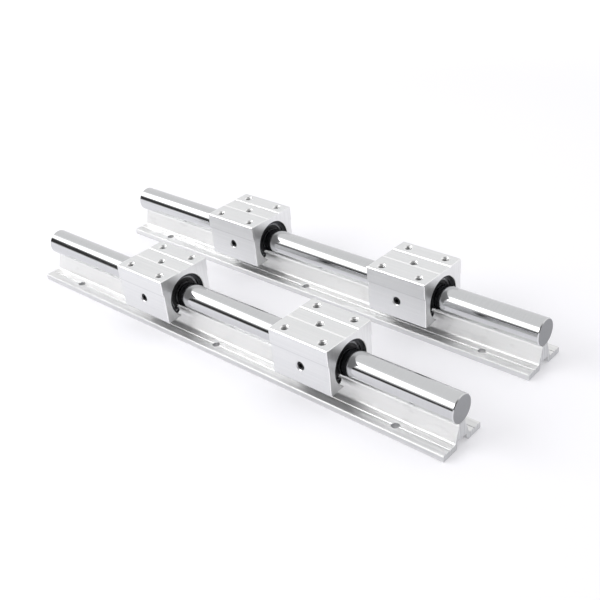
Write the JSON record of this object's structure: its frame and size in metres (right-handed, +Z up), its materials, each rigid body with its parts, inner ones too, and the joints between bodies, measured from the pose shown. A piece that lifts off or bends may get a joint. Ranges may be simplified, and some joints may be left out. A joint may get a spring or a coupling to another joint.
{
  "type": "linear ball bushing and supported shaft set",
  "caption": "Two supported round shafts, each carrying open ball-bushing blocks that slide along it and take a machine table on their tapped top faces.",
  "frame": {"origin": "on the ground under the middle of the set, midway between the rails and midway along them", "axes": "+X along the shafts, +Y across from the front rail to the rear rail, +Z up"},
  "size_m": [0.4, 0.143, 0.048],
  "materials": {
    "rail_aluminium": "extruded aluminium",
    "shaft_chrome": "ground and hard-chromed steel",
    "black_steel": "black-oxide steel",
    "spring_steel": "zinc-plated spring steel",
    "housing_aluminium": "satin anodised aluminium",
    "sleeve_steel": "hardened bearing steel",
    "cage_plastic": "black moulded acetal",
    "ball_steel": "polished bearing steel",
    "seal_rubber": "black nitrile rubber",
    "end_ring_steel": "dark pressed steel",
    "retaining_ring_steel": "phosphated spring steel"
  },
  "bodies": {
    "rails": {"front_support_rail": "rail_aluminium", "front_shaft": "shaft_chrome", "front_shaft_screws": "black_steel", "front_lock_washers": "spring_steel", "rear_support_rail": "rail_aluminium", "rear_shaft": "shaft_chrome", "rear_shaft_screws": "black_steel", "rear_lock_washers": "spring_steel"},
    "front_left_retainers": {"front_left_left_retaining_ring": "retaining_ring_steel", "front_left_right_retaining_ring": "retaining_ring_steel"},
    "front_left_block": {"front_left_housing": "housing_aluminium", "front_left_bushing_sleeve": "sleeve_steel", "front_left_ball_cage": "cage_plastic", "front_left_bearing_balls": "ball_steel", "front_left_set_screw": "black_steel", "front_left_left_seal": "seal_rubber", "front_left_left_end_ring": "end_ring_steel", "front_left_right_seal": "seal_rubber", "front_left_right_end_ring": "end_ring_steel"},
    "front_right_retainers": {"front_right_left_retaining_ring": "retaining_ring_steel", "front_right_right_retaining_ring": "retaining_ring_steel"},
    "front_right_block": {"front_right_housing": "housing_aluminium", "front_right_bushing_sleeve": "sleeve_steel", "front_right_ball_cage": "cage_plastic", "front_right_bearing_balls": "ball_steel", "front_right_set_screw": "black_steel", "front_right_left_seal": "seal_rubber", "front_right_left_end_ring": "end_ring_steel", "front_right_right_seal": "seal_rubber", "front_right_right_end_ring": "end_ring_steel"},
    "rear_left_retainers": {"rear_left_left_retaining_ring": "retaining_ring_steel", "rear_left_right_retaining_ring": "retaining_ring_steel"},
    "rear_left_block": {"rear_left_housing": "housing_aluminium", "rear_left_bushing_sleeve": "sleeve_steel", "rear_left_ball_cage": "cage_plastic", "rear_left_bearing_balls": "ball_steel", "rear_left_set_screw": "black_steel", "rear_left_left_seal": "seal_rubber", "rear_left_left_end_ring": "end_ring_steel", "rear_left_right_seal": "seal_rubber", "rear_left_right_end_ring": "end_ring_steel"},
    "rear_right_retainers": {"rear_right_left_retaining_ring": "retaining_ring_steel", "rear_right_right_retaining_ring": "retaining_ring_steel"},
    "rear_right_block": {"rear_right_housing": "housing_aluminium", "rear_right_bushing_sleeve": "sleeve_steel", "rear_right_ball_cage": "cage_plastic", "rear_right_bearing_balls": "ball_steel", "rear_right_set_screw": "black_steel", "rear_right_left_seal": "seal_rubber", "rear_right_left_end_ring": "end_ring_steel", "rear_right_right_seal": "seal_rubber", "rear_right_right_end_ring": "end_ring_steel"}
  },
  "joints": [
    {"name": "front_left_slide", "type": "slide", "parent": "rails", "child": "front_left_retainers", "axis": [1, 0, 0], "range_m": [-0.1105, 0.105]},
    {"name": "front_left_roll", "type": "hinge", "parent": "front_left_retainers", "child": "front_left_block", "pos_m": [-0.0645, -0.049, 0.027], "axis": [1, 0, 0], "range_deg": [-13, 13]},
    {"name": "front_right_slide", "type": "slide", "parent": "rails", "child": "front_right_retainers", "axis": [1, 0, 0], "range_m": [-0.105, 0.0835]},
    {"name": "front_right_roll", "type": "hinge", "parent": "front_right_retainers", "child": "front_right_block", "pos_m": [0.0915, -0.049, 0.027], "axis": [1, 0, 0], "range_deg": [-13, 13]},
    {"name": "rear_left_slide", "type": "slide", "parent": "rails", "child": "rear_left_retainers", "axis": [1, 0, 0], "range_m": [-0.107, 0.1125]},
    {"name": "rear_left_roll", "type": "hinge", "parent": "rear_left_retainers", "child": "rear_left_block", "pos_m": [-0.068, 0.049, 0.027], "axis": [1, 0, 0], "range_deg": [-13, 13]},
    {"name": "rear_right_slide", "type": "slide", "parent": "rails", "child": "rear_right_retainers", "axis": [1, 0, 0], "range_m": [-0.1125, 0.0795]},
    {"name": "rear_right_roll", "type": "hinge", "parent": "rear_right_retainers", "child": "rear_right_block", "pos_m": [0.0955, 0.049, 0.027], "axis": [1, 0, 0], "range_deg": [-13, 13]}
  ]
}
